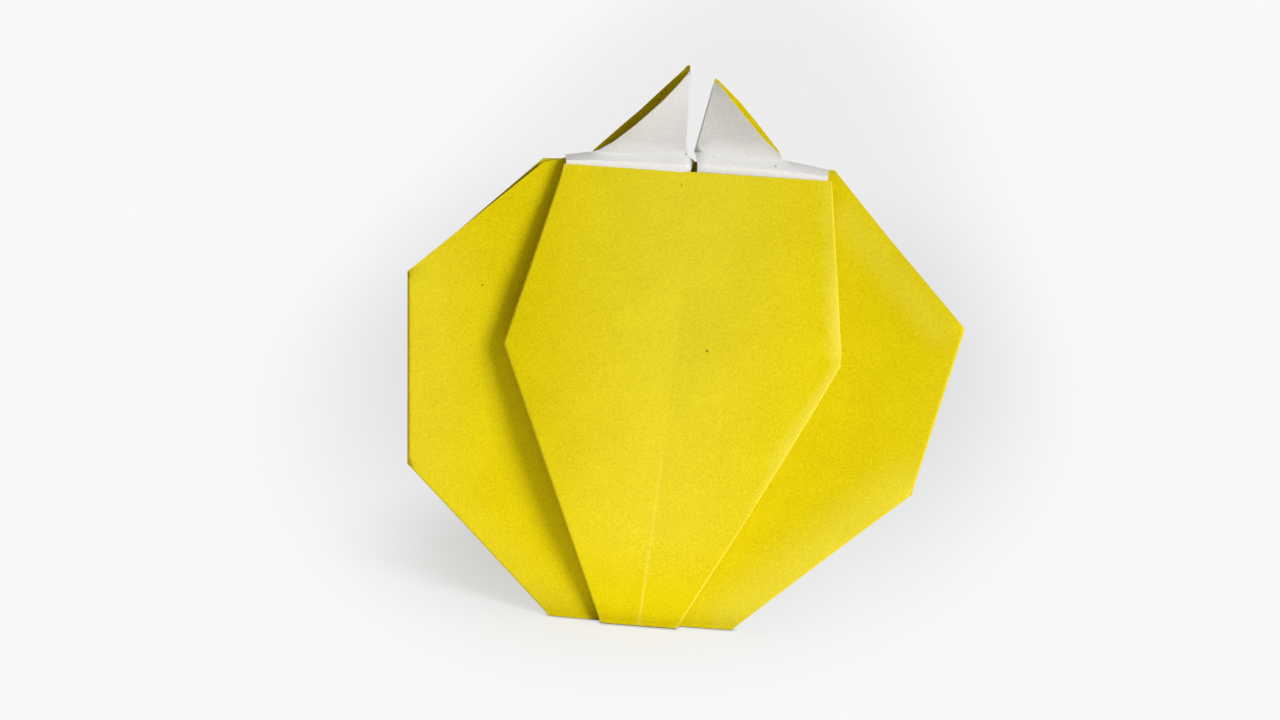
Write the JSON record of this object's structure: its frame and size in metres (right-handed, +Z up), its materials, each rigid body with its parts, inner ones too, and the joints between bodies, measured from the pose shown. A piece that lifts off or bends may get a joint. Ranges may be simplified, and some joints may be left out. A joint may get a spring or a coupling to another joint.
{
  "type": "origami bell pepper",
  "caption": "Bell pepper folded from one square of two-colour paper, with a panelled front, side wings and a split pointed stem, standing on its folded tip.",
  "frame": {"origin": "on the floor, in the middle of the folded tip that the pepper stands on", "axes": "+Z up, +Y away from the viewer (the pepper's back), +X to the viewer's right"},
  "size_m": [0.084, 0.0151, 0.0835],
  "materials": {
    "paper_yellow": "matte uncoated, yellow on one side and white on the other"
  },
  "bodies": {
    "root": {"folded_sheet": "paper_yellow"}
  },
  "joints": []
}
